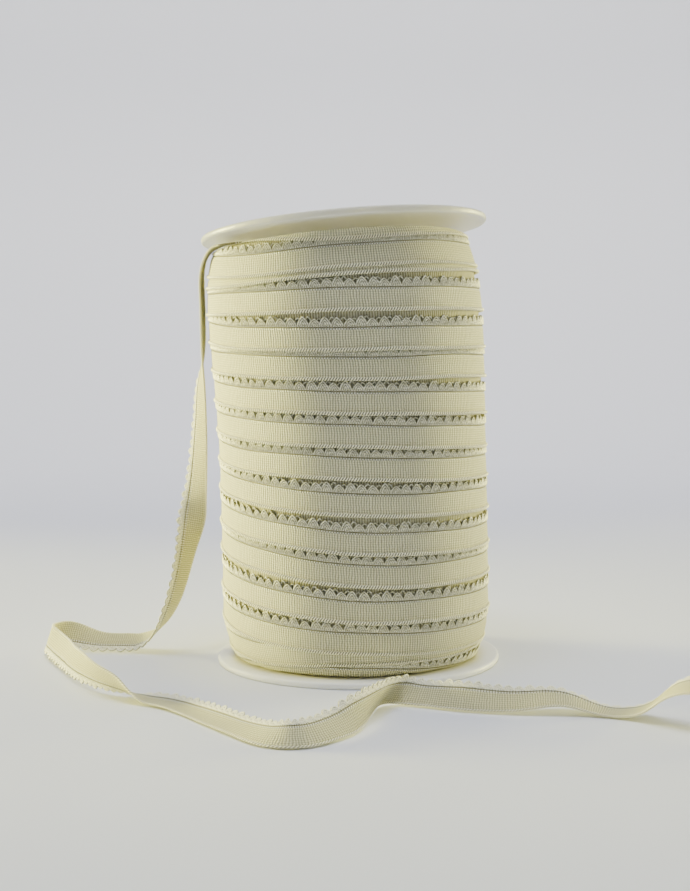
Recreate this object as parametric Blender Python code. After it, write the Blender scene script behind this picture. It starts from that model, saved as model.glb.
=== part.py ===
"""Roll of 12 mm picot elastic on a spool with two plastic flanges, its loose end draped to the floor.

Sizes are in millimetres and the meshes are written in metres. X points to the right, Y away from
the front and Z up. The origin is on the floor, under the centre of the bottom flange.
"""

import bpy
import numpy as np

MM = 0.001
GAP = 0.3  # between neighbouring solids

# The elastic: a corded selvedge on its lower edge and picot loops on its upper one.
BAND_WIDTH = 12.0
BAND_THICKNESS = 1.0

# The spool's flanges. The top one sits askew on the wound elastic.
FLANGE_RADIUS = 53.0
FLANGE_THICKNESS = 2.4
FLANGE_EDGE_ROUND = 0.9
FLANGE_SEGMENTS = 64
TOP_FLANGE_CENTRE = (-4.2, 0.0, 160.4)
TOP_FLANGE_RISE = (0.074, -0.045)  # of its height, per millimetre to the right and away from the front
WEB_RECESS = 0.5  # the outer face lies this much below the rim and the hub
WEB_SLOPE = 1.0  # width of the step down to it
RIM_BAND = 4.0
HUB_RADIUS = 12.0

# The wound elastic. It leans to the left and is drawn in at both ends.
WINDING_BOTTOM = FLANGE_THICKNESS + GAP
WINDING_COLUMNS = 48
SHOULDER_DROP = 3.7  # from the top flange's underside to the rim of the wound elastic
CROWN_RADIUS = 16.0  # inside this the elastic is packed against the top flange
LEAN_START, LEAN_END = -0.8, -6.7  # the axis at the bottom and at the top
OUTLINE = (
    # share of the height, radius of the wound elastic between its ridges
    (0.000, 45.6),
    (0.025, 47.3),
    (0.070, 49.4),
    (0.120, 50.1),
    (0.500, 50.0),
    (0.660, 50.6),
    (0.780, 51.2),
    (0.850, 51.2),
    (0.900, 50.8),
    (0.940, 49.8),
    (0.980, 48.5),
    (1.000, 47.2),
)
STEP_OUT = (
    # share of the way up a lap, how far the band stands out there
    (0.00, 0.55),
    (0.11, 0.55),
    (0.72, 0.10),
    (0.96, -0.45),
)
FULL_STEP_HEIGHT = 5.0  # a lap lower than this stands out less
LAST_LAP_END = 4.5  # below the rim, where the topmost lap runs out behind

# Height of each lap's corded edge, from the lowest lap up. The band travels from right to left
# across the front, and climbs to the next lap behind.
LAP_TURN = (0.0, 0.125, 0.25, 0.375, 0.5)  # of a turn, from the right side
LAPS = (
    # right, front right, front, front left, left
    (7.9, 7.1, 7.1, 4.8, 6.6),
    (9.0, 9.4, 10.9, 13.4, 17.6),
    (20.2, 21.0, 22.2, 25.6, 29.4),
    (33.6, 33.8, 34.6, 38.8, 43.8),
    (44.4, 44.7, 45.8, 49.6, 53.4),
    (57.4, 58.0, 59.2, 61.8, 66.0),
    (69.0, 70.1, 71.6, 73.2, 76.6),
    (80.2, 81.3, 82.7, 84.2, 87.0),
    (92.2, 93.2, 94.2, 95.2, 98.0),
    (105.6, 106.4, 105.7, 106.8, 109.4),
    (116.8, 116.3, 115.8, 116.5, 119.4),
    (130.2, 129.8, 129.4, 128.3, 129.4),
    (144.2, 143.6, 141.4, 138.5, 138.8),
    (146.4, 146.0, 143.8, 141.4, 143.4),
    (157.0, 156.2, 153.5, 153.9, 151.2),
)

# The loose end, from where it leaves the top lap to its cut end. Each row is a section across it.
LOOSE_END_STEP = 5.0  # between the solid's sections
FLOOR_CLEARANCE = 0.05
LOOSE_END = (
    # middle x, y, z, direction across to the picot edge x, y, z, depth of the lengthwise crease
    # from under the top flange and down the side of the roll
    (-43.4, -20.5, 155.0, 0.86, 0.49, 0.14, 0.0),
    (-51.6, -11.6, 153.7, 0.22, 0.96, 0.15, 0.0),
    (-54.9, -7.6, 151.0, 0.02, 0.99, 0.14, 0.0),
    (-56.8, -3.5, 145.5, 0.05, 1.00, 0.10, 0.0),
    (-56.9, -1.5, 133.5, 0.06, 1.00, 0.08, 0.0),
    (-57.5, 0.4, 111.3, -0.10, 0.99, 0.06, 0.0),
    (-58.7, 2.8, 104.2, -0.38, 0.92, 0.11, 0.0),
    (-59.4, 4.4, 91.3, -0.54, 0.83, 0.14, 0.0),
    (-62.3, 7.9, 61.1, -0.89, 0.44, 0.14, 0.0),
    (-65.3, 7.5, 43.9, -0.73, -0.65, 0.20, 0.0),
    (-74.0, 8.2, 14.5, -0.38, -0.93, -0.02, 0.0),
    # onto the floor and away to the left
    (-78.1, 10.3, 7.7, -0.25, -0.94, -0.23, 0.0),
    (-84.4, 12.6, 3.8, -0.12, -0.89, -0.44, 0.0),
    (-101.4, 14.0, 3.5, -0.12, -0.85, -0.51, 0.0),
    # the tight bend at the far left
    (-117.2, 13.7, 6.4, -0.21, -0.08, -0.97, 0.0),
    (-119.0, 11.4, 6.5, -0.26, 0.03, -0.96, 0.0),
    (-114.5, -3.1, 6.0, -0.39, -0.17, -0.90, 0.0),
    # forwards, standing on its picot edge, then leaning over
    (-109.2, -15.4, 6.0, -0.34, -0.15, -0.93, 0.0),
    (-96.7, -43.8, 6.5, -0.02, -0.02, -1.00, 0.0),
    (-86.8, -57.9, 5.9, 0.18, 0.41, -0.89, 0.0),
    (-79.2, -62.8, 4.1, 0.15, 0.72, -0.67, 0.5),
    # creased along its middle, the corded half flat on the floor
    (-70.1, -66.8, 2.0, 0.43, 0.90, 0.10, 1.5),
    (-62.3, -72.3, 2.0, 0.64, 0.75, 0.16, 1.7),
    (-44.7, -94.5, 2.8, 0.74, 0.58, 0.34, 1.5),
    (-36.2, -106.0, 2.8, 0.77, 0.56, 0.32, 0.8),
    # round the bend nearest to the front, and back to the flange
    (-25.0, -119.2, 3.7, 0.32, 0.78, 0.54, 0.0),
    (-21.8, -120.4, 3.9, 0.05, 0.81, 0.59, 0.0),
    (-6.2, -108.4, 4.7, -0.58, 0.47, 0.67, 0.0),
    (-0.2, -100.5, 6.1, -0.17, 0.13, 0.98, 0.0),
    (5.1, -86.4, 6.4, 0.26, -0.10, 0.96, 0.0),
    (12.7, -72.2, 5.1, 0.52, 0.29, 0.80, 0.0),
    (15.8, -71.9, 4.6, 0.42, 0.57, 0.71, 0.0),
    # along the front to the right, its near edge lifting off the floor once
    (33.3, -79.9, 5.0, 0.23, 0.61, 0.75, 0.0),
    (48.6, -83.1, 4.5, 0.07, 0.82, 0.57, 0.0),
    (64.3, -84.2, 5.3, 0.12, 0.94, 0.32, 0.0),
    (78.7, -86.9, 1.0, 0.35, 0.94, 0.05, 0.0),
    # over one last wave to the cut end
    (88.1, -91.9, 2.6, 0.52, 0.84, 0.14, 0.0),
    (98.3, -102.6, 13.0, 0.53, 0.78, 0.33, 0.0),
    (102.5, -105.6, 14.0, 0.53, 0.79, 0.31, 0.0),
    (127.2, -116.3, 1.6, 0.33, 0.94, 0.02, 0.0),
    (144.0, -121.6, 0.5, 0.29, 0.96, 0.00, 0.0),
)

PLASTIC_WHITE = (0.86, 0.86, 0.83, 1.0)
ELASTIC_CREAM = (0.80, 0.76, 0.55, 1.0)


def smooth_curve(knots, values, at):
    """A smooth curve through the values at the knots, read at other places along it."""
    slope = np.gradient(values, knots, axis=0)
    low = np.clip(np.searchsorted(knots, at, side="right") - 1, 0, len(knots) - 2)
    span = knots[low + 1] - knots[low]
    t = (at - knots[low]) / span
    if values.ndim == 2:
        span, t = span[:, None], t[:, None]
    start = (2 * t**3 - 3 * t**2 + 1) * values[low] + (t**3 - 2 * t**2 + t) * span * slope[low]
    end = (3 * t**2 - 2 * t**3) * values[low + 1] + (t**3 - t**2) * span * slope[low + 1]
    return start + end


def top_flange_height(x, y, above_middle):
    """Height of a plane parallel to the top flange, at a distance from the flange's middle."""
    cx, cy, cz = TOP_FLANGE_CENTRE
    return cz + TOP_FLANGE_RISE[0] * (x - cx) + TOP_FLANGE_RISE[1] * (y - cy) + above_middle


def add_solid(name, points, faces, colour, roughness):
    """Make a closed mesh object from points in millimetres, with its own material."""
    mesh = bpy.data.meshes.new(name)
    mesh.from_pydata((np.asarray(points) * MM).tolist(), [], faces)
    mesh.validate()
    material = bpy.data.materials.new(name)
    material.use_nodes = True
    shader = material.node_tree.nodes["Principled BSDF"]
    shader.inputs["Base Color"].default_value = colour
    shader.inputs["Roughness"].default_value = roughness
    mesh.materials.append(material)
    solid = bpy.data.objects.new(name, mesh)
    bpy.context.scene.collection.objects.link(solid)
    return solid


def ring_faces(rings, count):
    """Outward-facing quads between rings of count points each, and a cap on either end."""
    faces = []
    for i in range(rings - 1):
        for j in range(count):
            k = (j + 1) % count
            faces.append((i * count + j, i * count + k, (i + 1) * count + k, (i + 1) * count + j))
    faces.append(tuple(reversed(range(count))))
    faces.append(tuple(range((rings - 1) * count, rings * count)))
    return faces


# ---- the flanges ----


def flange_section(recessed):
    """Half section of a flange from its lower centre round to its upper one, as radius and height."""
    r, t, e = FLANGE_RADIUS, FLANGE_THICKNESS, FLANGE_EDGE_ROUND
    arc = np.radians((0, 30, 60, 90))
    lower = [(r - e + e * np.sin(a), e - e * np.cos(a)) for a in arc]
    upper = [(r - e + e * np.cos(a), t - e + e * np.sin(a)) for a in arc]
    web = []
    if recessed:
        inner, web_height = r - RIM_BAND, t - WEB_RECESS
        web = [
            (inner, t),
            (inner - WEB_SLOPE, web_height),
            (HUB_RADIUS + WEB_SLOPE, web_height),
            (HUB_RADIUS, t),
        ]
    return lower + upper + web


def turned_points(section):
    """The section turned about Z, one ring of points for each of its points."""
    turn = np.linspace(0, 2 * np.pi, FLANGE_SEGMENTS, endpoint=False)
    rings = [
        np.stack([r * np.cos(turn), r * np.sin(turn), np.full_like(turn, z)], axis=1)
        for r, z in section
    ]
    return np.concatenate(rings)


def add_bottom_flange():
    """The flat disc that the roll stands on."""
    section = flange_section(recessed=False)
    points = turned_points(section)
    faces = ring_faces(len(section), FLANGE_SEGMENTS)
    return add_solid("bottom_flange", points, faces, PLASTIC_WHITE, 0.4)


def add_top_flange():
    """The disc that lies askew on top, its outer face a little recessed between rim and hub."""
    section = flange_section(recessed=True)
    points = turned_points(section)
    across, away = TOP_FLANGE_RISE
    normal = np.array((-across, -away, 1.0)) / np.sqrt(1 + across**2 + away**2)
    right = np.cross((0.0, 1.0, 0.0), normal)
    right /= np.linalg.norm(right)
    back = np.cross(normal, right)
    points[:, 2] -= FLANGE_THICKNESS / 2
    points = points @ np.array((right, back, normal)) + np.array(TOP_FLANGE_CENTRE)
    faces = ring_faces(len(section), FLANGE_SEGMENTS)
    return add_solid("top_flange", points, faces, PLASTIC_WHITE, 0.4)


# ---- the wound elastic ----


def winding_axis(z):
    """Where the leaning roll's axis is at a height."""
    return LEAN_START + (LEAN_END - LEAN_START) * (z / TOP_FLANGE_CENTRE[2]) ** 3


def rim_height(turn):
    """Height of the wound elastic's upper rim at a place round the roll."""
    radius = OUTLINE[-1][1]
    x = LEAN_END + radius * np.cos(2 * np.pi * turn)
    y = -radius * np.sin(2 * np.pi * turn)
    return top_flange_height(x, y, -FLANGE_THICKNESS / 2 - SHOULDER_DROP)


def lap_edges(turn):
    """Heights at a place round the roll: the bottom, each lap's corded edge, and the rim."""
    laps = np.array(LAPS)
    start = np.arange(len(laps))[:, None] + np.array(LAP_TURN)[None]
    knots = np.append(start.ravel(), float(len(laps)))
    heights = np.append(laps.ravel(), rim_height(0.0) - LAST_LAP_END)
    edges = smooth_curve(knots, heights, np.arange(len(laps)) + turn)
    return np.concatenate([[WINDING_BOTTOM], edges, [rim_height(turn)]])


def winding_column(turn):
    """The points of one column up the roll, from the bottom rim to the top one."""
    edges = lap_edges(turn)
    share, step = np.array(STEP_OUT).T
    height = np.diff(edges)[:, None]
    z = np.append((edges[:-1, None] + share * height).ravel(), edges[-1])
    out = np.append((step * np.minimum(height / FULL_STEP_HEIGHT, 1)).ravel(), 0.0)
    level, radius = np.array(OUTLINE).T
    r = np.interp((z - edges[0]) / (edges[-1] - edges[0]), level, radius) + out
    x = winding_axis(z) + r * np.cos(2 * np.pi * turn)
    y = -r * np.sin(2 * np.pi * turn)
    return np.stack([x, y, z], axis=1)


def add_winding():
    """One solid of the lapped turns. After each full turn a lap meets the one above it."""
    n = WINDING_COLUMNS
    columns = [winding_column(j / n) for j in range(n)]
    rows = len(columns[0])
    lap_rows = len(STEP_OUT)
    angle = 2 * np.pi * np.arange(n) / n
    x, y = LEAN_END + CROWN_RADIUS * np.cos(angle), -CROWN_RADIUS * np.sin(angle)
    crown = np.stack([x, y, top_flange_height(x, y, -FLANGE_THICKNESS / 2 - GAP)], axis=1)
    points = np.concatenate(columns + [crown])

    def at(column, row):
        """Index of a point, going up one lap where the helix closes on itself."""
        if column == n:
            column, row = 0, min(row + lap_rows, rows - 1)
        return column * rows + row

    faces = []
    for j in range(n):
        for i in range(rows - 1):
            corners = (at(j, i), at(j, i + 1), at(j + 1, i + 1), at(j + 1, i))
            kept = tuple(dict.fromkeys(corners))
            if len(kept) > 2:
                faces.append(kept)
    top = [j * rows + rows - 1 for j in range(n)]
    inner = [n * rows + j for j in range(n)]
    for j in range(n):
        k = (j + 1) % n
        faces.append((top[j], inner[j], inner[k], top[k]))
    faces.append(tuple(reversed(inner)))
    faces.append(tuple(j * rows for j in range(n)))
    # The end of the first lap is a small step in the bottom edge.
    faces.append(((n - 1) * rows,) + tuple(range(lap_rows, -1, -1)))
    return add_solid("winding", points, faces, ELASTIC_CREAM, 0.8)


# ---- the loose end ----


def loose_end_sections():
    """Corner points of every section: corded edge, middle and picot edge, on both faces."""
    rows = np.array(LOOSE_END)
    along = np.append(0, np.cumsum(np.linalg.norm(np.diff(rows[:, :3], axis=0), axis=1)))
    count = int(round(along[-1] / LOOSE_END_STEP)) + 1
    rows = smooth_curve(along, rows, np.linspace(0, along[-1], count))
    middle, across, crease = rows[:, :3], rows[:, 3:6], np.clip(rows[:, 6:7], 0, None)
    across /= np.linalg.norm(across, axis=1, keepdims=True)
    outward = np.cross(across, np.gradient(middle, axis=0))
    outward /= np.linalg.norm(outward, axis=1, keepdims=True)
    half = np.sqrt((BAND_WIDTH / 2) ** 2 - crease**2)
    spine = [middle - half * across, middle + crease * outward, middle + half * across]
    offset = outward * BAND_THICKNESS / 2
    front = [p + offset for p in spine]
    back = [p - offset for p in reversed(spine)]
    sections = np.stack(front + back, axis=1)
    lowest = sections[:, :, 2].min(axis=1)
    sections[:, :, 2] += np.maximum(FLOOR_CLEARANCE - lowest, 0)[:, None]
    return sections


def add_loose_end():
    """The draped end of the band, one closed strip."""
    sections = loose_end_sections()
    count, ring = sections.shape[:2]
    faces = ring_faces(count, ring)
    return add_solid("loose_end", sections.reshape(-1, 3), faces, ELASTIC_CREAM, 0.8)


for old in list(bpy.data.objects):
    bpy.data.objects.remove(old, do_unlink=True)
add_bottom_flange()
add_top_flange()
add_winding()
add_loose_end()
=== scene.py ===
"""Looks of a roll of cream picot elastic on a white spool, its loose end draped to the floor.

Every piece is worked out in millimetres and written in metres. X points right, Y away from the
front and Z up.
"""

import bpy
import numpy as np
from mathutils import Matrix, Vector


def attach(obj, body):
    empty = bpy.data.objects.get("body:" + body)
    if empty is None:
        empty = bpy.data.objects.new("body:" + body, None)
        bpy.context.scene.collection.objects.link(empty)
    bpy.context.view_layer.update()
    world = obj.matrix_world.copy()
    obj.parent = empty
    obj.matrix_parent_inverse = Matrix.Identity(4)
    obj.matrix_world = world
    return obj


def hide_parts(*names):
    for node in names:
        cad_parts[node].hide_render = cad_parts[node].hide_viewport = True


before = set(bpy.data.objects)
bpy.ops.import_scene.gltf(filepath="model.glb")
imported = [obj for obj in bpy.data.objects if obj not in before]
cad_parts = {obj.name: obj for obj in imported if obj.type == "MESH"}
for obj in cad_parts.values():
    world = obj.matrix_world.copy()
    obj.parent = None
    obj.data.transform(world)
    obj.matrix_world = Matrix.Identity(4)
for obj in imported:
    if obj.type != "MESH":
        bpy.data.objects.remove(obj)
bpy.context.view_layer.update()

# ---- Bottom flange ----------------------------------------------------------------------------
# A thin disc of white polystyrene, injection moulded, that the wound elastic stands on. It is the
# CAD disc itself, given a satin surface with faint flow marks, and a painted cream bounce where
# the wound elastic lies against it.

MM = 0.001
# Painted bounce: out to this radius the plastic is tinted cream, for the wound elastic's light seen
# through and reflected off the disc.
BOUNCE_RADIUS, BOUNCE_EDGE = 47.5 * MM, 3.0 * MM  # of the elastic behind the disc, and its softness
PAINTED_BOUNCE_SHARE = 0.7  # of the tint below
PAINTED_BOUNCE_TINT = (0.86, 0.82, 0.60, 1.0)


class Wire:
    """A shader socket. Sums, differences, products and quotients of wires add Math nodes."""

    def __init__(self, tree, socket=None):
        self.tree = tree
        self.socket = socket

    def node(self, kind, settings=None, sockets=None, output=0):
        """Any shader node: its type, its settings, and the values or wires of its sockets."""
        made = self.tree.nodes.new("ShaderNode" + kind)
        for key, value in (settings or {}).items():
            setattr(made, key, value)
        for key, value in (sockets or {}).items():
            if isinstance(value, Wire):
                self.tree.links.new(value.socket, made.inputs[key])
            else:
                made.inputs[key].default_value = value
        return Wire(self.tree, made.outputs[output])

    def maths(self, operation, *values, clamp=False):
        """One Math node on this wire and the values."""
        sockets = dict(enumerate((self, *values)))
        return self.node("Math", {"operation": operation, "use_clamp": clamp}, sockets)

    def __add__(self, other):
        return self.maths("ADD", other)

    def __sub__(self, other):
        return self.maths("SUBTRACT", other)

    def __mul__(self, other):
        return self.maths("MULTIPLY", other)

    def __truediv__(self, other):
        return self.maths("DIVIDE", other)

    def __rsub__(self, other):
        return self.maths("MULTIPLY_ADD", -1.0, other)

    __radd__ = __add__
    __rmul__ = __mul__

    def wave(self, pitch, shift=0.0):
        """From 0 to 1 and back once in each pitch: half of one plus the cosine."""
        return (self * (2 * np.pi / pitch) + shift).maths("COSINE") * 0.5 + 0.5

    def band(self, middle, half_width, soft):
        """1 within half_width of the middle, falling to 0 over a soft edge."""
        distance = (self - middle).maths("ABSOLUTE")
        return ((half_width - distance) / soft).maths("ADD", 0.5, clamp=True)

    def tint(self, low, high):
        """A colour between two colours or wires of colours, this wire being the second's share."""
        sockets = {"Factor": self, 6: low, 7: high}
        return self.node("Mix", {"data_type": "RGBA"}, sockets, output=2)

    def part(self, axis):
        """One coordinate of this place."""
        return self.node("SeparateXYZ", {}, {"Vector": self}, output=axis)

    def noise(self, scale, detail=2.0):
        """Cloudy spots from 0 to 1 at this place, about one over the scale wide."""
        return self.node("TexNoise", {}, {"Vector": self, "Scale": scale, "Detail": detail})

    def relief(self, strength, distance):
        """Normals as if the surface rose with this wire, by up to the distance in metres."""
        return self.node("Bump", {}, {"Height": self, "Strength": strength, "Distance": distance})


def new_finish(name, roughness=0.5, sheen=0.0):
    """An empty material, its first wire and its shader, with the numbers that are the same all over."""
    material = bpy.data.materials.new(name)
    material.use_nodes = True
    shader = material.node_tree.nodes["Principled BSDF"]
    shader.inputs["Roughness"].default_value = roughness
    shader.inputs["Sheen Weight"].default_value = sheen
    return material, Wire(material.node_tree), shader


def paint(wire, shader, **inputs):
    """Links wires to the shader's sockets, underscores standing for the spaces in their names."""
    for name, value in inputs.items():
        wire.tree.links.new(value.socket, shader.inputs[name.replace("_", " ")])


def moulded_plastic(name, clearness):
    """Thin cloudy white plastic, slightly uneven in shade and gloss, that lets some light through.

    Out to the radius of the elastic behind it, a painted cream bounce stands for the light of the wound
    elastic, seen through the disc and reflected off it.
    """
    material, start, shader = new_finish(name)
    shader.inputs["Transmission Weight"].default_value = clearness
    shader.inputs["IOR"].default_value = 1.45
    place = start.node("TexCoord", output="Object")
    flat = start.node("VectorMath", {"operation": "MULTIPLY"}, {0: place, 1: (1.0, 1.0, 0.0)})
    reach = start.node("VectorMath", {"operation": "LENGTH"}, {0: flat}, output="Value")
    cloud, grain = place.noise(45.0, detail=3.0), place.noise(1500.0)
    clear = cloud.tint((0.87, 0.87, 0.85, 1.0), (0.94, 0.94, 0.93, 1.0))
    # painted bounce: the cream share grows inside the elastic's radius
    painted_bounce = ((BOUNCE_RADIUS - reach) / BOUNCE_EDGE).maths("ADD", 0.5, clamp=True)
    colour = (painted_bounce * PAINTED_BOUNCE_SHARE).tint(clear, PAINTED_BOUNCE_TINT)
    relief = (cloud + grain * 0.25).relief(0.12, 0.0004)
    paint(start, shader, Base_Color=colour, Roughness=cloud * 0.14 + 0.31, Normal=relief)
    return material


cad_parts["bottom_flange"].data.materials.clear()
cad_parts["bottom_flange"].data.materials.append(moulded_plastic("white_plastic", 0.08))

# ---- Inner turns ------------------------------------------------------------------------------
# The layers of elastic under the outermost one. They show only in the gaps between laps, as a
# ribbed surface darkened with painted shade, and close the roll off under the two flanges.

LEAN_START, LEAN_END = -0.8, -6.7  # the roll's axis at the bottom and at the top
TOP_FLANGE_CENTRE = (-4.2, 0.0, 160.4)
TOP_FLANGE_RISE = (0.074, -0.045)  # of its height, to the right and away from the front
FLANGE_UNDERSIDE = -1.2  # from its middle
WINDING_BOTTOM = 2.7
CROWN_RADIUS, CROWN_CLEARANCE = 16.0, 0.3  # where the turns end, just under the top flange
SHOULDER_DROP = 3.7  # from the top flange down to the wound elastic's rim
INNER_DEPTH = 1.5  # below the outline that the outermost layer stands on
INNER_COLUMNS, INNER_ROWS = 96, 60
INNER_GIRTH = 2 * np.pi * 49.0
RIB_PITCH = 0.95
OUTLINE = np.array([
    # share of the height, radius of the wound elastic between its ridges
    (0.000, 45.6),
    (0.025, 47.3),
    (0.070, 49.4),
    (0.120, 50.1),
    (0.500, 50.0),
    (0.660, 50.6),
    (0.780, 51.2),
    (0.850, 51.2),
    (0.900, 50.8),
    (0.940, 49.8),
    (0.980, 48.5),
    (1.000, 47.2),
])


def flange_underside(x, y):
    """Height of the top flange's lower face: a plane that rises to the right and to the front."""
    cx, cy, cz = TOP_FLANGE_CENTRE
    across, away = TOP_FLANGE_RISE
    return cz + FLANGE_UNDERSIDE + across * (x - cx) + away * (y - cy)


def roll_axis(z):
    """Where the leaning roll's axis is: the shift grows with the cube of the height."""
    return LEAN_START + (LEAN_END - LEAN_START) * (z / TOP_FLANGE_CENTRE[2]) ** 3


def roll_rim(angle):
    """Height of the wound elastic's upper rim: just under the flange, at the roll's top radius."""
    x, y = LEAN_END + OUTLINE[-1, 1] * np.cos(angle), -OUTLINE[-1, 1] * np.sin(angle)
    return flange_underside(x, y) - SHOULDER_DROP


def roll_radius(share):
    """Radius between the ridges at a share of the height, from the table of the outline."""
    return np.interp(share, OUTLINE[:, 0], OUTLINE[:, 1])


def strand_mesh(name, points, along_uv, across_uv, material):
    """Closed tubes as one object.

    points is (tubes, places along, places round, 3) in millimetres. Each tube's rings are joined by
    quads and its two ends are capped. The UV is the length along and the place round, the latter
    with one more entry for the seam. Where the quads' signed volume comes out negative, all faces
    are turned round to point outwards.
    """
    tubes, along, sides, _ = points.shape
    index = np.arange(tubes * along * sides).reshape(tubes, along, sides)
    after = np.roll(index, -1, axis=2)
    quads = np.stack([index[:, :-1], after[:, :-1], after[:, 1:], index[:, 1:]], axis=-1)
    flat = points.reshape(-1, 3)
    corners = flat[quads.reshape(-1, 4)]
    volume = (corners[:, 0] * np.cross(corners[:, 1], corners[:, 2])).sum()
    volume += (corners[:, 0] * np.cross(corners[:, 2], corners[:, 3])).sum()
    first, last = index[:, 0, ::-1], index[:, -1]
    u, v = np.broadcast_to(along_uv, (tubes, along)), np.asarray(across_uv, dtype=float)
    shape = (tubes, along - 1, sides)
    quad_u = [u[:, :-1, None], u[:, :-1, None], u[:, 1:, None], u[:, 1:, None]]
    quad_v = [v[:-1], v[1:], v[1:], v[:-1]]
    uv = np.stack([
        np.stack([np.broadcast_to(a, shape) for a in quad_u], axis=-1),
        np.stack([np.broadcast_to(a, shape) for a in quad_v], axis=-1),
    ], axis=-1).reshape(-1, 4, 2)
    caps = np.concatenate([first, last])
    cap_u = np.concatenate([u[:, :1], u[:, -1:]])
    cap_v = np.concatenate([np.tile(v[:-1][::-1], (tubes, 1)), np.tile(v[:-1], (tubes, 1))])
    cap_uv = np.stack([np.broadcast_to(cap_u, cap_v.shape), cap_v], axis=-1)
    faces = quads.reshape(-1, 4)
    if volume < 0:
        faces, uv = faces[:, ::-1], uv[:, ::-1]
        caps, cap_uv = caps[:, ::-1], cap_uv[:, ::-1]
    mesh = bpy.data.meshes.new(name)
    mesh.from_pydata((flat * MM).tolist(), [], faces.tolist() + caps.tolist())
    layer = mesh.uv_layers.new(name="cloth")
    layer.data.foreach_set("uv", np.concatenate([uv.ravel(), cap_uv.ravel()]))
    mesh.polygons.foreach_set("use_smooth", np.ones(len(mesh.polygons), dtype=bool))
    mesh.materials.append(material)
    made = bpy.data.objects.new(name, mesh)
    bpy.context.scene.collection.objects.link(made)
    return made


def painted_shade_ribs(name):
    """Ribbed elastic darkened all over with painted shade for the deep gaps, with fine lines of painted
    shade across it, one in each rib's pitch.
    """
    material, start, shader = new_finish(name, 0.85)
    girth = start.node("UVMap", {"uv_map": "cloth"}).part(1)
    rib = girth.wave(RIB_PITCH)
    # painted shade: darker than the outer band all over, the rib hollows darker still
    colour = rib.tint((0.28, 0.265, 0.155, 1.0), (0.64, 0.61, 0.40, 1.0))
    paint(start, shader, Base_Color=colour, Normal=rib.relief(0.7, 0.0003))
    return material


def inner_turns():
    """The roll's outline turned about its leaning axis, a little inside the outermost layer.

    One more ring, the crown, draws the top in under the flange.
    """
    angle = np.linspace(0, 2 * np.pi, INNER_COLUMNS, endpoint=False)[None]
    share = np.linspace(0, 1, INNER_ROWS)[:, None]
    z = WINDING_BOTTOM + share * (roll_rim(angle) - WINDING_BOTTOM)
    r = roll_radius(share) - INNER_DEPTH
    body = np.stack([roll_axis(z) + r * np.cos(angle), -r * np.sin(angle), z], axis=-1)
    x, y = LEAN_END + CROWN_RADIUS * np.cos(angle), -CROWN_RADIUS * np.sin(angle)
    crown = np.stack([x, y, flange_underside(x, y) - CROWN_CLEARANCE], axis=-1)
    rings = np.concatenate([body, crown])
    row_uv, round_uv = np.arange(INNER_ROWS + 1.0), np.linspace(0, INNER_GIRTH, INNER_COLUMNS + 1)
    turns = strand_mesh("inner_turns", rings[None], row_uv, round_uv, painted_shade_ribs("inner_ribs_painted_shade"))
    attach(turns, "root")
    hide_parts("winding")


inner_turns()

# ---- Outermost layer of elastic ---------------------------------------------------------------
# One band 12 mm wide, knitted from covered rubber and cream polyester, that winds up the roll in
# fifteen laps. Its body is finely ribbed. A thin stitched seam carries the loops of its upper edge.

BAND_WIDTH = 12.0
TURN_LENGTH = 2 * np.pi * 50.5  # of the band in one turn
LAP_COLUMNS = 180  # for each turn
BAND_START, BAND_END = -1.20, 14.42  # in turns from the right side of the lowest lap
OPEN_ROOM = 99.0  # above the last lap, which no other covers
LEAN_IN = 0.35  # the band's upper edge lies this much deeper than its lower one
TUCK, TUCK_EASE = 0.9, 0.9  # how much deeper the next lap presses the band, and over what width
FOLD_MARGIN = 0.2  # the band folds inwards this far before the winding's two ends
FOLD_RISE = 0.1  # for each millimetre folded in at the top
FLATTENING, FLATTEST = 0.4, 0.2  # the relief lost in each millimetre folded in, the share left
RIB_DRIFT, ROW_PITCH, ROW_DRIFT = 0.9, 0.8, 0.4  # the drifts are how far ribs and rows stray
SEAM_ACROSS, SEAM_HALF_WIDTH, SEAM_EDGE = 8.2, 0.17, 0.12
SEAM_THREADS = ((8.62, 0.22), (7.68, 0.24))  # places across and half widths
# Painted shade colours: for the seam's groove, the knit's hollows and the gaps between the seam's
# stitch dots.
SEAM_GROOVE_PAINTED_SHADE = (0.07, 0.06, 0.025, 1.0)
KNIT_HOLLOW_PAINTED_SHADE = (0.12, 0.115, 0.055, 1.0)
DOT_GAP_PAINTED_SHADE, DOT_SHINE = (0.14, 0.13, 0.07, 1.0), (1.0, 0.98, 0.80, 1.0)
LAP_TURN = (0.0, 0.125, 0.25, 0.375, 0.5)
LAPS = np.array([
    # height of each lap's corded edge: right, front right, front, front left, left
    (7.9, 7.1, 7.1, 4.8, 6.6),
    (9.0, 9.4, 10.9, 13.4, 17.6),
    (20.2, 21.0, 22.2, 25.6, 29.4),
    (33.6, 33.8, 34.6, 38.8, 43.8),
    (44.4, 44.7, 45.8, 49.6, 53.4),
    (57.4, 58.0, 59.2, 61.8, 66.0),
    (69.0, 70.1, 71.6, 73.2, 76.6),
    (80.2, 81.3, 82.7, 84.2, 87.0),
    (92.2, 93.2, 94.2, 95.2, 98.0),
    (105.6, 106.4, 105.7, 106.8, 109.4),
    (116.8, 116.3, 115.8, 116.5, 119.4),
    (130.2, 129.8, 129.4, 128.3, 129.4),
    (144.2, 143.6, 141.4, 138.5, 138.8),
    (146.4, 146.0, 143.8, 141.4, 143.4),
    (157.0, 156.2, 153.5, 153.9, 151.2),
])
BEHIND = np.array([
    # turn, height of the corded edge before the first full lap and after the last
    (-1.25, -7.0),
    (-1.00, -5.6),
    (-0.88, -4.9),
    (-0.76, -2.0),
    (-0.66, -1.6),
    (-0.58, -4.0),
    (-0.48, -5.0),
    (-0.25, 1.5),
    (15.00, 157.5),
])
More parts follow.
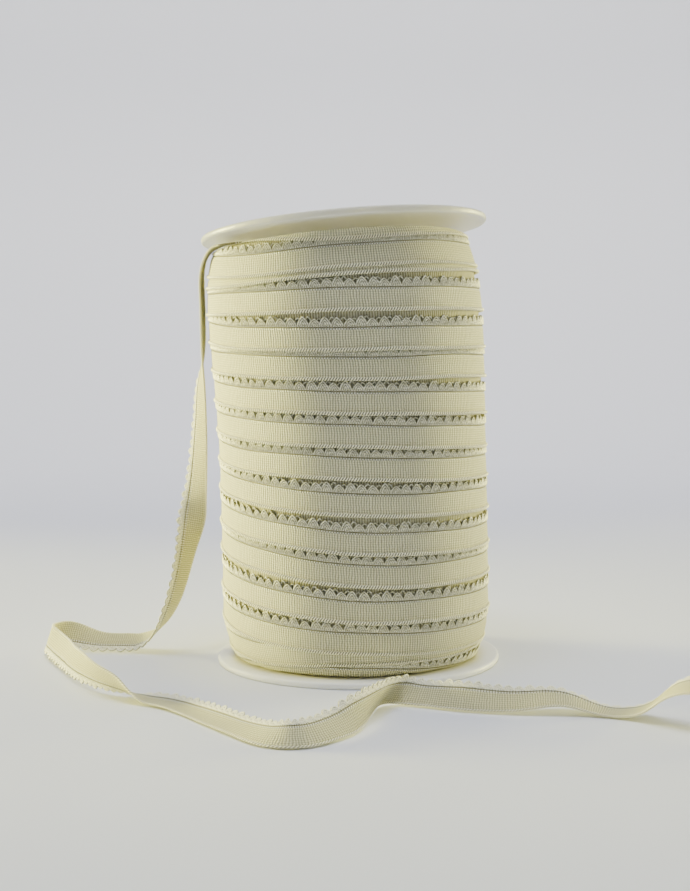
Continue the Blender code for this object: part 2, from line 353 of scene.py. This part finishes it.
BAND_SECTION = np.array([
    # across from the corded edge, height above the roll's outline
    (0.50, -0.70),
    (0.50, -0.35),
    (1.20, -0.22),
    (1.60, -0.06),
    (3.20, -0.05),
    (5.00, -0.05),
    (6.60, -0.05),
    (7.80, -0.07),
    (8.05, -0.15),
    (8.20, -0.33),
    (8.35, -0.13),
    (8.60, -0.03),
    (8.85, -0.19),
    (8.90, -0.75),
    (5.00, -0.85),
])


def smooth_curve(knots, values, at):
    """Cubic pieces through the values at the knots, with slopes from their neighbours."""
    slope = np.gradient(values, knots, axis=0)
    low = np.clip(np.searchsorted(knots, at, side="right") - 1, 0, len(knots) - 2)
    span = knots[low + 1] - knots[low]
    t = (at - knots[low]) / span
    if values.ndim == 2:
        span, t = span[:, None], t[:, None]
    start = (2 * t**3 - 3 * t**2 + 1) * values[low] + (t**3 - 2 * t**2 + t) * span * slope[low]
    end = (3 * t**2 - 2 * t**3) * values[low + 1] + (t**3 - t**2) * span * slope[low + 1]
    return start + end


def edge_height(turn):
    """Height of the band's corded edge after so many turns.

    It is the tables' smooth curve, with two small sines for the unevenness of hand winding.
    """
    lap_turns = np.arange(len(LAPS))[:, None] + np.array(LAP_TURN)[None]
    knots = np.concatenate([BEHIND[:-1, 0], lap_turns.ravel(), BEHIND[-1:, 0]])
    heights = np.concatenate([BEHIND[:-1, 1], LAPS.ravel(), BEHIND[-1:, 1]])
    waver = 0.12 * np.sin(turn * 21.0 + 1.0) + 0.08 * np.sin(turn * 47.0)
    return smooth_curve(knots, heights, turn) + waver


def room_above(turn):
    """Height from the band's corded edge up to that of the next lap."""
    room = edge_height(np.minimum(turn + 1, BAND_END)) - edge_height(turn)
    return np.where(turn + 1 < BAND_END, room, OPEN_ROOM)


def ease(low, high, x):
    """From 0 at low to 1 at high, with level ends."""
    t = np.clip((x - low) / (high - low), 0, 1)
    return t * t * (3 - 2 * t)


def on_roll(turn, across, height):
    """Points of the wound band, from turns along it, millimetres across it and height above it.

    The band stands on the roll's outline. It leans inwards towards its upper edge and is pressed
    deeper where the next lap covers it. What would pass the rim or the foot is folded inwards over
    the roll's shoulder instead, its relief flattened.
    """
    angle = 2 * np.pi * turn
    room = room_above(turn)
    z = edge_height(turn) + across
    rim, foot = roll_rim(angle) - FOLD_MARGIN, WINDING_BOTTOM + FOLD_MARGIN
    over, under = np.maximum(z - rim, 0), np.maximum(foot - z, 0)
    share = (np.clip(z, foot, rim) - WINDING_BOTTOM) / (rim + FOLD_MARGIN - WINDING_BOTTOM)
    pressed = TUCK * ease(room - TUCK_EASE, room + TUCK_EASE, across)
    deeper = LEAN_IN * across / BAND_WIDTH + pressed
    standing = height * np.clip(1 - FLATTENING * (over + under), FLATTEST, 1)
    r = roll_radius(share) + standing - deeper - over - under
    z = np.clip(z, foot, rim) + FOLD_RISE * over
    axis = roll_axis(z)
    return np.stack([axis + r * np.cos(angle), -r * np.sin(angle), z], axis=-1)


def knitted_elastic(name, rib_pitch, rib_share, seam_painted_shade, crest_tint):
    """Cream ribbed elastic, laid out in millimetres along and across the band.

    Ribs run across the body, crossed by rows of stitches that take the rest of the relief; the
    hollows of both are darkened with painted shade. The seam's groove is a line of painted shade,
    with a row of bright stitch dots on either side and painted shade between the dots. The share
    of the ribs in the relief, the strength of the seam's painted shade and the colour of the ribs'
    crests are given.
    """
    material, start, shader = new_finish(name, sheen=0.08)
    cloth = start.node("UVMap", {"uv_map": "cloth"})
    along, across = cloth.part(0), cloth.part(1)
    drift, fleck = cloth.noise(0.35), cloth.noise(2.6)
    hollow = 1 - (along + drift * RIB_DRIFT).wave(rib_pitch)
    rib = 1 - hollow * (hollow * 0.4 + 0.6)
    row = (across + drift * ROW_DRIFT).wave(ROW_PITCH)
    body = (rib * (row * 0.45 + 0.55)) * rib_share + row * (1 - rib_share) * 0.6 + fleck * 0.45
    seam = across.band(SEAM_ACROSS, SEAM_HALF_WIDTH, SEAM_EDGE)
    upper, lower = (across.band(*thread, SEAM_EDGE) for thread in SEAM_THREADS)
    threads = upper.maths("MAXIMUM", lower)
    # painted shade in the hollows of ribs and rows
    knit = body.tint(KNIT_HOLLOW_PAINTED_SHADE, crest_tint)
    dots = along.wave(RIB_PITCH).tint(DOT_GAP_PAINTED_SHADE, DOT_SHINE)
    # painted shade along the seam's groove
    colour = (seam * seam_painted_shade).tint(threads.tint(knit, dots), SEAM_GROOVE_PAINTED_SHADE)
    relief = (body - seam).relief(0.9, 0.00035)
    paint(start, shader, Base_Color=colour, Roughness=0.72 - threads * 0.3, Normal=relief)
    return material


def wound_band():
    """The band's section carried up the roll along its corded edge."""
    count = int((BAND_END - BAND_START) * LAP_COLUMNS)
    turn = np.linspace(BAND_START, BAND_END, count)
    across, height = BAND_SECTION.T
    points = on_roll(turn[:, None], across[None], height[None])
    round_uv = np.append(across, across[0])
    band = strand_mesh("wound_band", points[None], turn * TURN_LENGTH, round_uv, elastic)
    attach(band, "root")
    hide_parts("winding")


elastic = knitted_elastic("cream_elastic", RIB_PITCH, 0.84, 0.6, (0.89, 0.855, 0.545, 1.0))
wound_band()

# ---- Cord along the wound band's lower edge ---------------------------------------------------
# The selvedge: two glossy strands of viscose twisted round each other and knitted to the body's
# edge. Their turns read as a row of bright beads, brightened by a painted highlight on each
# strand's outer face and darkened by painted shade in the hollow between the two.

CORD_MIDDLE = 0.66  # across the band
CORD_TWIST = 1.95  # length of a full turn of the pair
CORD_OFFSET = 0.42  # from the cord's middle line to a strand's
CORD_SINK = 0.1  # into the band's edge
STRAND_RADIUS = 0.34
STRAND_SIDES = 5  # as many as its rings in each full turn of the pair
STRAND_PAINTED_HIGHLIGHT = (1.0, 0.96, 0.66, 1.0)


def glossy_strand(name, hollow_painted_shade):
    """Cream strand with a painted highlight where it faces outwards and painted shade in the hollow
    between the two.
    """
    material, start, shader = new_finish(name, 0.38, sheen=0.05)
    cloth = start.node("UVMap", {"uv_map": "cloth"})
    fleck = cloth.noise(1.3, detail=1.0)
    facing = cloth.part(1).wave(1.0)
    # painted highlight on the outer face, fading into the painted shade of the hollow, with painted
    # glints from the flecks
    painted_bead_light = (facing * 3.0 - 1.8).maths("MAXIMUM", 0.0) * (fleck * 0.4 + 0.8)
    colour = painted_bead_light.tint(hollow_painted_shade, STRAND_PAINTED_HIGHLIGHT)
    paint(start, shader, Base_Color=colour, Normal=fleck.relief(0.3, 0.0001))
    return material


def twisted_pair(place, side, sides, size=1.0):
    """Rings of one strand of the cord, as places along and across the band and heights above it.

    The strand's middle goes round the cord's as a helix. Size scales the helix's radius and the
    strand's. Each ring stands square to the helix, its first point the furthest from the cord's
    middle.
    """
    phase = 2 * np.pi * place / CORD_TWIST + np.pi * side
    zero = np.zeros_like(phase)
    outward = np.stack([zero, np.cos(phase), np.sin(phase)], axis=-1)
    around = np.stack([zero, -np.sin(phase), np.cos(phase)], axis=-1)
    offset = CORD_OFFSET * size
    forward = around * 2 * np.pi * offset + np.array((CORD_TWIST, 0.0, 0.0))
    forward /= np.linalg.norm(forward, axis=1, keepdims=True)
    sideways = np.cross(forward, outward)
    turn = (2 * np.pi * np.arange(sides) / sides)[None, :, None]
    ring = np.cos(turn) * outward[:, None] + np.sin(turn) * sideways[:, None]
    middle = np.stack([place, zero + CORD_MIDDLE, zero], axis=-1) + offset * outward
    return middle[:, None] + STRAND_RADIUS * size * ring


def wound_cord():
    """Both strands, carried up the roll along the band's lower edge."""
    start, end = BAND_START * TURN_LENGTH, BAND_END * TURN_LENGTH
    place = np.linspace(start, end, int((end - start) / CORD_TWIST * STRAND_SIDES))
    round_uv = np.linspace(0, 1, STRAND_SIDES + 1)
    for side, label in enumerate(("first", "second")):
        rings = twisted_pair(place, side, STRAND_SIDES)
        points = on_roll(rings[..., 0] / TURN_LENGTH, rings[..., 1], rings[..., 2] - CORD_SINK)
        strand = strand_mesh(f"wound_cord_{label}", points[None], place, round_uv, cord_strand)
        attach(strand, "root")


cord_strand = glossy_strand("glossy_cream_cord", (0.025, 0.022, 0.008, 1.0))
wound_cord()

# ---- Loops along the wound band's upper edge --------------------------------------------------
# Picots of glossy cream thread, knitted into the seam. Each is a blunt triangle of one thread
# with two smaller ones inside it. The lap above covers many of their tips. Between them show the
# picots of the layer underneath, half a pitch along.

PICOT_PITCH = 4.0
PICOT_FOOT = 8.6  # across the band
PICOT_STRETCH, PICOT_SHIFT = 0.16, 0.25  # how uneven the picots are, in height and place
RIM_COVER, FOOT_COVER = 0.5, 1.5  # nearer the rim, or further past the foot, a picot is hidden
ARCH_LIFT = 0.12  # of an arch's top off the band
ARCH_PEAK = 0.6
THREAD_RADIUS = 0.37
THREAD_SIDES = 4
PLY_PITCH = 0.85
FLECK_STEP, FLECK_SPAN = 0.61, 10.0  # where a picot's flecks start along the thread's pattern
PICOT_ARCHES = (
    # name, half width, height, places along the thread, foot across, depth, steps along
    ("outer", 1.95, 2.85, 11, 8.6, 0.05, 0.0),
    ("middle", 1.20, 2.00, 9, 8.6, 0.10, 0.0),
    ("inner", 0.45, 1.15, 7, 8.6, 0.10, 0.0),
    ("under", 1.55, 2.15, 9, 9.4, 0.75, 0.5),
)


def picot_thread(name):
    """Glossy twisted thread with painted light: a painted highlight along its two faces, and painted
    shade on its flanks and in the slanting hollows.

    Its painted glints: the brightness is multiplied by flecks, as where the light catches it in spots.
    """
    material, start, shader = new_finish(name, 0.42, sheen=0.08)
    cloth = start.node("UVMap", {"uv_map": "cloth"})
    along, girth = cloth.part(0), cloth.part(1)
    ply = (along * (2 * np.pi / PLY_PITCH) + girth * (2 * np.pi)).maths("COSINE") * 0.5 + 0.5
    fleck = cloth.noise(1.3, detail=1.0)
    # painted shade on the flanks and in the ply's hollows, painted highlight on the faces
    flank = 1 - girth.wave(0.5, np.pi)
    painted_crest_light = (1 - flank * flank) * (ply * 0.3 + 0.7)
    # painted glints where the flecks are bright
    painted_glints = painted_crest_light * (fleck * 3.0 - 0.5).maths("MAXIMUM", 0.0)
    colour = painted_glints.tint((0.24, 0.23, 0.11, 1.0), (1.0, 0.975, 0.74, 1.0))
    paint(start, shader, Base_Color=colour, Normal=ply.relief(0.6, 0.0002))
    return material


def arch_rings(half_width, height, places, sides, radius, peak):
    """One arch of thread flat on the band: its rings, as along, across and height, and its length.

    The centre line runs from one foot over a blunt peak to the other. Its places along and across
    are powers of the cosine and the sine of its angle: a half ellipse at peak 0, nearly a triangle
    at peak 1.
    """
    angle = np.linspace(0, np.pi, places)
    cosine, sine = np.cos(angle), np.sin(angle)
    centre = np.stack([
        -half_width * cosine * np.abs(cosine) ** peak,
        height * sine ** (1 + 0.5 * peak),
        ARCH_LIFT * sine,
    ], axis=-1)
    forward = np.gradient(centre, axis=0)
    forward /= np.linalg.norm(forward, axis=1, keepdims=True)
    lift = np.array((0.0, 0.0, 1.0))
    side = np.cross(forward, lift)
    turn = 2 * np.pi * np.arange(sides) / sides
    ring = np.cos(turn)[:, None] * side[:, None] + np.sin(turn)[:, None] * lift
    length = np.append(0, np.cumsum(np.linalg.norm(np.diff(centre, axis=0), axis=1)))
    return centre[:, None] + radius * ring, length


def wound_picots():
    """The arches of every picot that the next lap or a flange doesn't hide.

    Their heights and places waver a little, as sines of their number along the band.
    """
    place = np.arange(BAND_START * TURN_LENGTH, BAND_END * TURN_LENGTH, PICOT_PITCH)
    every_turn = place / TURN_LENGTH
    seam = edge_height(every_turn) + PICOT_FOOT
    room = room_above(every_turn)
    rim = roll_rim(2 * np.pi * every_turn)
    round_uv = np.linspace(0, 1, THREAD_SIDES + 1)
    for label, half_width, height, places, foot, depth, steps in PICOT_ARCHES:
        below_rim = seam + (foot - PICOT_FOOT) < rim - RIM_COVER
        turn = every_turn[below_rim & (seam > WINDING_BOTTOM - FOOT_COVER) & (room > foot)]
        number = np.arange(len(turn))
        rings, length = arch_rings(
            half_width, height, places, THREAD_SIDES, THREAD_RADIUS, ARCH_PEAK
        )
        stretch = 1 + PICOT_STRETCH * np.sin(number * 2.4)
        shift = PICOT_SHIFT * np.sin(number * 1.7) + steps * PICOT_PITCH
        along = rings[None, ..., 0] + shift[:, None, None]
        across = foot + rings[None, ..., 1] * stretch[:, None, None]
        raised = np.broadcast_to(rings[..., 2] - depth, across.shape)
        points = on_roll(turn[:, None, None] + along / TURN_LENGTH, across, raised)
        begin = (turn * TURN_LENGTH * FLECK_STEP + depth) % FLECK_SPAN
        thread_uv = begin[:, None] + length
        loops = strand_mesh(f"wound_picots_{label}", points, thread_uv, round_uv, picot_yarn)
        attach(loops, "root")


picot_yarn = picot_thread("glossy_cream_thread")
wound_picots()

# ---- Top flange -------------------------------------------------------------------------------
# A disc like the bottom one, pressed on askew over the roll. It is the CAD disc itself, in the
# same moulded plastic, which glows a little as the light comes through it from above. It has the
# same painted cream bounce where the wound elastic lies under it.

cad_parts["top_flange"].data.materials.clear()
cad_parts["top_flange"].data.materials.append(moulded_plastic("cloudy_white_plastic", 0.65))

# ---- Floor ------------------------------------------------------------------------------------
# Plain pale paper, part of the studio and not of the object. It curves up into the backdrop all
# round. It comes before the loose end, because that rests on it.

FLOOR_HUB, FLOOR_RADIUS, SWEEP_RADIUS, WALL_HEIGHT = 4.0, 900.0, 500.0, 1900.0
FLOOR_RINGS, SWEEP_RINGS, FLOOR_COLUMNS = 12, 24, 96


def studio_floor():
    """A disc that rises through a quarter circle into a round wall, turned about Z."""
    bend = np.linspace(0, np.pi / 2, SWEEP_RINGS)
    flat = np.linspace(FLOOR_HUB, FLOOR_RADIUS, FLOOR_RINGS)
    radius = np.concatenate([flat, FLOOR_RADIUS + SWEEP_RADIUS * np.sin(bend)])
    height = np.concatenate([np.zeros(FLOOR_RINGS), SWEEP_RADIUS * (1 - np.cos(bend))])
    radius, height = np.append(radius, radius[-1]), np.append(height, WALL_HEIGHT)
    turn = np.linspace(0, 2 * np.pi, FLOOR_COLUMNS, endpoint=False)
    grid = np.stack([
        radius[:, None] * np.cos(turn),
        radius[:, None] * np.sin(turn),
        np.broadcast_to(height[:, None], (len(radius), FLOOR_COLUMNS)),
    ], axis=-1)
    index = np.arange(len(radius) * FLOOR_COLUMNS).reshape(-1, FLOOR_COLUMNS)
    after = np.roll(index, -1, axis=1)
    quads = np.stack([index[:-1], after[:-1], after[1:], index[1:]], axis=-1).reshape(-1, 4)
    faces = quads[:, ::-1].tolist() + [index[0].tolist()]
    mesh = bpy.data.meshes.new("floor")
    mesh.from_pydata((grid.reshape(-1, 3) * MM).tolist(), [], faces)
    mesh.polygons.foreach_set("use_smooth", np.ones(len(mesh.polygons), dtype=bool))
    material, start, shader = new_finish("pale_paper", 0.6)
    cloud = start.node("TexCoord", output="Object").noise(3.0)
    paint(start, shader, Base_Color=cloud.tint((0.705, 0.72, 0.80, 1.0), (0.725, 0.74, 0.82, 1.0)))
    mesh.materials.append(material)
    floor = bpy.data.objects.new("floor", mesh)
    bpy.context.scene.collection.objects.link(floor)


studio_floor()

# ---- Loose end --------------------------------------------------------------------------------
# The band's free end, 0.59 m long. It leaves the top lap under the flange, hangs down the left
# side, turns on the floor and waves past the front of the roll, standing partly on its edge.

LOOSE_STEP = 1.6
FLOOR_CLEARANCE = 0.05
HALF_DEPTH = 0.5  # from the band's middle to the outside of its cord and picots
CREASE_POWER = 1.3  # 1 would be a sharp fold, 2 a wide round one
SMOOTHING = np.linspace(-4.0, 4.0, 5)  # steps along to the readings that are averaged
COURSE_SAMPLES = 1200
SLACK_RIB_PITCH = 0.8
SLACK_SIDES = 6
SLACK_CORD_SIZE = 0.62  # of the wound cord's
CORD_MARGIN = 0.5  # from the band's ends
SLACK_PICOT_PITCH, PICOT_MARGIN = 3.4, 2.0
SLACK_PICOT_SIZE, SLACK_THREAD_SIZE = 0.8, 1.1  # of the wound ones'
SLACK_PICOT_STRETCH, SLACK_PICOT_DEPTH, SLACK_PEAK = 0.12, 0.1, 0.15
LOOSE_END = np.array([
    # middle x, y, z, direction across to the picot edge x, y, z, depth of the lengthwise crease
    # from under the top flange and down the side of the roll
    (-43.4, -20.5, 155.0, 0.86, 0.49, 0.14, 0.0),
    (-51.6, -11.6, 153.7, 0.22, 0.96, 0.15, 0.0),
    (-54.9, -7.6, 151.0, 0.02, 0.99, 0.14, 0.0),
    (-56.8, -3.5, 145.5, 0.05, 1.00, 0.10, 0.0),
    (-56.9, -1.5, 133.5, 0.06, 1.00, 0.08, 0.0),
    (-57.5, 0.4, 111.3, -0.10, 0.99, 0.06, 0.0),
    (-58.7, 2.8, 104.2, -0.38, 0.92, 0.11, 0.0),
    (-59.4, 4.4, 91.3, -0.54, 0.83, 0.14, 0.0),
    (-62.3, 7.9, 61.1, -0.89, 0.44, 0.14, 0.0),
    (-65.3, 7.5, 43.9, -0.73, -0.65, 0.20, 0.0),
    (-74.0, 8.2, 14.5, -0.38, -0.93, -0.02, 0.0),
    # onto the floor and away to the left
    (-78.1, 10.3, 7.7, -0.25, -0.94, -0.23, 0.0),
    (-84.4, 12.6, 3.8, -0.12, -0.89, -0.44, 0.0),
    (-101.4, 14.0, 3.5, -0.12, -0.85, -0.51, 0.0),
    # the tight bend at the far left
    (-117.2, 13.7, 6.4, -0.21, -0.08, -0.97, 0.0),
    (-119.0, 11.4, 6.5, -0.26, 0.03, -0.96, 0.0),
    (-114.5, -3.1, 6.0, -0.39, -0.17, -0.90, 0.0),
    # forwards, standing on its picot edge, then leaning over
    (-109.2, -15.4, 6.0, -0.34, -0.15, -0.93, 0.0),
    (-96.7, -43.8, 6.5, -0.02, -0.02, -1.00, 0.0),
    (-86.8, -57.9, 5.9, 0.18, 0.41, -0.89, 0.0),
    (-79.2, -62.8, 4.1, 0.15, 0.72, -0.67, 0.5),
    # creased along its middle, the corded half flat on the floor
    (-70.1, -66.8, 2.0, 0.43, 0.90, 0.10, 1.5),
    (-62.3, -72.3, 2.0, 0.64, 0.75, 0.16, 1.7),
    (-44.7, -94.5, 2.8, 0.74, 0.58, 0.34, 1.5),
    (-36.2, -106.0, 2.8, 0.77, 0.56, 0.32, 0.8),
    # round the bend nearest to the front, and back to the flange
    (-25.0, -119.2, 3.7, 0.32, 0.78, 0.54, 0.0),
    (-21.8, -120.4, 3.9, 0.05, 0.81, 0.59, 0.0),
    (-6.2, -108.4, 4.7, -0.58, 0.47, 0.67, 0.0),
    (-0.2, -100.5, 6.1, -0.17, 0.13, 0.98, 0.0),
    (5.1, -86.4, 6.4, 0.26, -0.10, 0.96, 0.0),
    (12.7, -72.2, 5.1, 0.52, 0.29, 0.80, 0.0),
    (15.8, -71.9, 4.6, 0.42, 0.57, 0.71, 0.0),
    # along the front to the right, its near edge lifting off the floor once
    (33.3, -79.9, 5.0, 0.23, 0.61, 0.75, 0.0),
    (48.6, -83.1, 4.5, 0.07, 0.82, 0.57, 0.0),
    (64.3, -84.2, 5.3, 0.12, 0.94, 0.32, 0.0),
    (78.7, -86.9, 1.0, 0.35, 0.94, 0.05, 0.0),
    # over one last wave to the cut end
    (88.1, -91.9, 2.6, 0.52, 0.84, 0.14, 0.0),
    (98.3, -102.6, 13.0, 0.53, 0.78, 0.33, 0.0),
    (102.5, -105.6, 14.0, 0.53, 0.79, 0.31, 0.0),
    (127.2, -116.3, 1.6, 0.33, 0.94, 0.02, 0.0),
    (144.0, -121.6, 0.5, 0.29, 0.96, 0.00, 0.0),
])
LOOSE_SECTION = np.array([
    # across from the corded edge, height above the band's middle, on one face then the other
    (0.60, 0.10),
    (1.20, 0.26),
    (2.50, 0.34),
    (4.30, 0.34),
    (6.20, 0.34),
    (7.70, 0.33),
    (8.05, 0.28),
    (8.20, 0.16),
    (8.36, 0.33),
    (8.60, 0.40),
    (8.85, 0.16),
    (8.85, -0.16),
    (8.60, -0.40),
    (8.36, -0.33),
    (8.20, -0.16),
    (8.05, -0.28),
    (7.70, -0.33),
    (6.20, -0.34),
    (4.30, -0.34),
    (2.50, -0.34),
    (1.20, -0.26),
    (0.60, -0.10),
])


class LooseCourse:
    """The loose end's middle line with its directions, from the table's rows on a smooth curve.

    Where the lowest of a section's two edges and its ridge comes too near to the floor, the whole
    section is raised.
    """

    def __init__(self):
        steps = np.linalg.norm(np.diff(LOOSE_END[:, :3], axis=0), axis=1)
        self.knots = np.append(0, np.cumsum(steps))
        self.total = self.knots[-1]
        self.fine = np.linspace(0, self.total, COURSE_SAMPLES)
        half = np.sqrt((BAND_WIDTH / 2) ** 2 - self.read(self.fine)[:, 6] ** 2)
        middle, across, outward, crease = self.directions(self.fine)
        edges = [(middle + side * half[:, None] * across)[:, 2] for side in (-1, 1)]
        ridge = (middle + crease[:, None] * outward)[:, 2]
        lowest = np.min([*edges, ridge], axis=0)
        self.raise_by = np.maximum(FLOOR_CLEARANCE + HALF_DEPTH - lowest, 0)

    def read(self, place):
        """The table's columns at places along the middle line, each a mean over a short stretch."""
        near = [np.clip(place + step, 0, self.total) for step in SMOOTHING]
        return np.mean([smooth_curve(self.knots, LOOSE_END, at) for at in near], axis=0)

    def directions(self, place):
        """Middle points, unit vectors across and outwards, and crease depths at the places."""
        rows = self.read(place)
        middle, across, crease = rows[:, :3], rows[:, 3:6], np.clip(rows[:, 6], 0, None)
        across = across / np.linalg.norm(across, axis=1, keepdims=True)
        step = 0.5
        forward = self.read(np.minimum(place + step, self.total))[:, :3]
        forward = forward - self.read(np.maximum(place - step, 0))[:, :3]
        outward = np.cross(across, forward)
        outward /= np.linalg.norm(outward, axis=1, keepdims=True)
        return middle, across, outward, crease

    def points(self, place, across_mm, height):
        """Points at places along, millimetres across from the corded edge and height off the middle.

        Across the band the section rises outwards to the crease's depth as a rounded V. What would
        still sink into the floor is lifted just clear of it.
        """
        flat = np.ravel(place)
        middle, across, outward, crease = self.directions(flat)
        shape = np.shape(place)
        middle, across, outward = (a.reshape(shape + (3,)) for a in (middle, across, outward))
        crease = crease.reshape(shape)
        side = across_mm / (BAND_WIDTH / 2) - 1
        half = np.sqrt((BAND_WIDTH / 2) ** 2 - crease**2)
        bow = crease * (1 - np.abs(side) ** CREASE_POWER) + height
        raised = np.interp(flat, self.fine, self.raise_by).reshape(shape)
        made = middle + (side * half)[..., None] * across + bow[..., None] * outward
        made[..., 2] = np.maximum(made[..., 2] + raised, FLOOR_CLEARANCE)
        return made


def loose_strip(course):
    """The loose end's body: the section carried along the course."""
    place = np.linspace(0, course.total, int(course.total / LOOSE_STEP))[:, None]
    across, height = LOOSE_SECTION.T
    points = course.points(*np.broadcast_arrays(place, across, height))
    round_uv = np.append(across, across[0])
    return strand_mesh("loose_band", points[None], place[:, 0], round_uv, slack_elastic_painted_shade)


def loose_cord(course):
    """The two strands of its cord, finer than the wound ones."""
    count = int(course.total / CORD_TWIST * SLACK_SIDES)
    place = np.linspace(CORD_MARGIN, course.total - CORD_MARGIN, count)
    round_uv = np.linspace(0, 1, SLACK_SIDES + 1)
    strands = []
    for side, label in enumerate(("first", "second")):
        rings = twisted_pair(place, side, SLACK_SIDES, SLACK_CORD_SIZE)
        along = np.clip(rings[..., 0], 0, course.total)
        points = course.points(along, rings[..., 1], rings[..., 2])
        name = f"loose_cord_{label}"
        strands.append(strand_mesh(name, points[None], place, round_uv, slack_strand))
    return strands


def loose_picots(course):
    """The three arches of each picot, smaller and rounder than on the tightly wound band."""
    feet = np.arange(PICOT_MARGIN, course.total - PICOT_MARGIN, SLACK_PICOT_PITCH)
    stretch = 1 + SLACK_PICOT_STRETCH * np.sin(np.arange(len(feet)) * 2.4)
    radius = THREAD_RADIUS * SLACK_THREAD_SIZE
    round_uv = np.linspace(0, 1, SLACK_SIDES + 1)
    loops = []
    for label, half_width, height, places, foot, _, _ in PICOT_ARCHES[:3]:
        half_width, height = half_width * SLACK_PICOT_SIZE, height * SLACK_PICOT_SIZE
        rings, length = arch_rings(half_width, height, places, SLACK_SIDES, radius, SLACK_PEAK)
        along = np.clip(feet[:, None, None] + rings[None, ..., 0], 0, course.total)
        across = foot + rings[None, ..., 1] * stretch[:, None, None]
        raised = np.broadcast_to(rings[..., 2] - SLACK_PICOT_DEPTH, across.shape)
        points = course.points(along, across, raised)
        loops.append(strand_mesh(f"loose_picots_{label}", points, length, round_uv, picot_yarn))
    return loops


def loose_end():
    """The body with its cord and picots, each its own piece, all laid along one course; the CAD loose
    end is hidden.
    """
    course = LooseCourse()
    strip = loose_strip(course)
    trimmings = loose_cord(course) + loose_picots(course)
    for piece in [strip] + trimmings:
        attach(piece, "root")
    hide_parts("loose_end")


# Painted shade and painted bounce: the loose end's crests are darker and more olive than the wound
# band's, though it is the same elastic, relaxed.
slack_elastic_painted_shade = knitted_elastic("slack_elastic_painted_shade", SLACK_RIB_PITCH, 0.66, 0.5, (0.80, 0.76, 0.42, 1.0))
slack_strand = glossy_strand("slack_cream_cord", (0.50, 0.48, 0.30, 1.0))
loose_end()

# ---- Light and camera -------------------------------------------------------------------------
# Two warm softboxes low at the sides, a wide cool one overhead, a small one on the roll's foot, and
# one on the backdrop. The camera stands a little above the middle of the roll.

WARM_WHITE, SOFT_WHITE, COOL_WHITE = (1.0, 0.95, 0.29), (1.0, 0.96, 0.83), (0.92, 0.95, 1.0)
LAMPS = (
    # name, place, aim, width and length in metres, watts, spread in degrees, colour
    ("left_softbox", (-0.83, 0.28, 0.17), (0.0, 0.0, 0.10), (0.5, 0.3), 2.9, 30, WARM_WHITE),
    ("right_softbox", (0.75, 0.45, 0.17), (0.0, 0.0, 0.10), (0.5, 0.3), 1.2, 30, WARM_WHITE),
    ("overhead", (0.0, -0.1, 1.7), (0.0, 0.1, 0.0), (1.4, 0.8), 12.2, 120, COOL_WHITE),
    ("base_light", (-0.25, -0.3, 1.3), (-0.08, 0.02, 0.0), (0.3, 0.3), 0.2, 40, COOL_WHITE),
    ("backdrop_light", (0.0, 0.35, 1.4), (0.0, 1.35, 0.35), (1.8, 0.5), 12.0, 105, SOFT_WHITE),
)
SKY_STRENGTH = 0.03
CAMERA_PLACE = (-0.0040, -0.5255, 0.1161)
CAMERA_PITCH, CAMERA_YAW, CAMERA_ROLL = 0.0676, -0.0007, -0.0087  # in radians, the pitch down
FOCAL_PIXELS, PICTURE_PIXELS = 1400.0, 891.0  # focal length and height of the photograph
SENSOR = 36.0  # millimetres of the camera's sensor along that height


def softbox(name, place, aim, size, power, spread, colour):
    """A rectangular lamp at a place, facing a point, its beam as wide as the spread in degrees."""
    lamp = bpy.data.lights.new(name, "AREA")
    lamp.shape = "RECTANGLE"
    lamp.size, lamp.size_y = size
    lamp.energy = power
    lamp.color = colour
    lamp.spread = np.radians(spread)
    made = bpy.data.objects.new(name, lamp)
    bpy.context.scene.collection.objects.link(made)
    away = Vector(place) - Vector(aim)
    made.matrix_world = Matrix.Translation(place) @ away.to_track_quat("Z", "Y").to_matrix().to_4x4()


def studio_camera():
    """The photograph's viewpoint: level axes turned by the yaw and pitch, then by the roll."""
    pitch, yaw, roll = CAMERA_PITCH, CAMERA_YAW, CAMERA_ROLL
    forward = Vector((np.sin(yaw) * np.cos(pitch), np.cos(yaw) * np.cos(pitch), -np.sin(pitch)))
    level = Vector((np.cos(yaw), -np.sin(yaw), 0.0))
    upright = level.cross(forward)
    right = np.cos(roll) * level + np.sin(roll) * upright
    up = -np.sin(roll) * level + np.cos(roll) * upright
    lens = bpy.data.cameras.new("camera")
    lens.sensor_width = SENSOR
    lens.lens = FOCAL_PIXELS / PICTURE_PIXELS * SENSOR
    lens.clip_start = 0.01
    made = bpy.data.objects.new("camera", lens)
    bpy.context.scene.collection.objects.link(made)
    turned = Matrix((right, up, -forward)).transposed().to_4x4()
    made.matrix_world = Matrix.Translation(CAMERA_PLACE) @ turned
    bpy.context.scene.camera = made


def sky(strength):
    """Even white light from all round."""
    world = bpy.data.worlds.new("studio_air")
    world.use_nodes = True
    world.node_tree.nodes["Background"].inputs["Color"].default_value = (1.0, 1.0, 1.0, 1.0)
    world.node_tree.nodes["Background"].inputs["Strength"].default_value = strength
    bpy.context.scene.world = world


for lamp in LAMPS:
    softbox(*lamp)
sky(SKY_STRENGTH)
studio_camera()
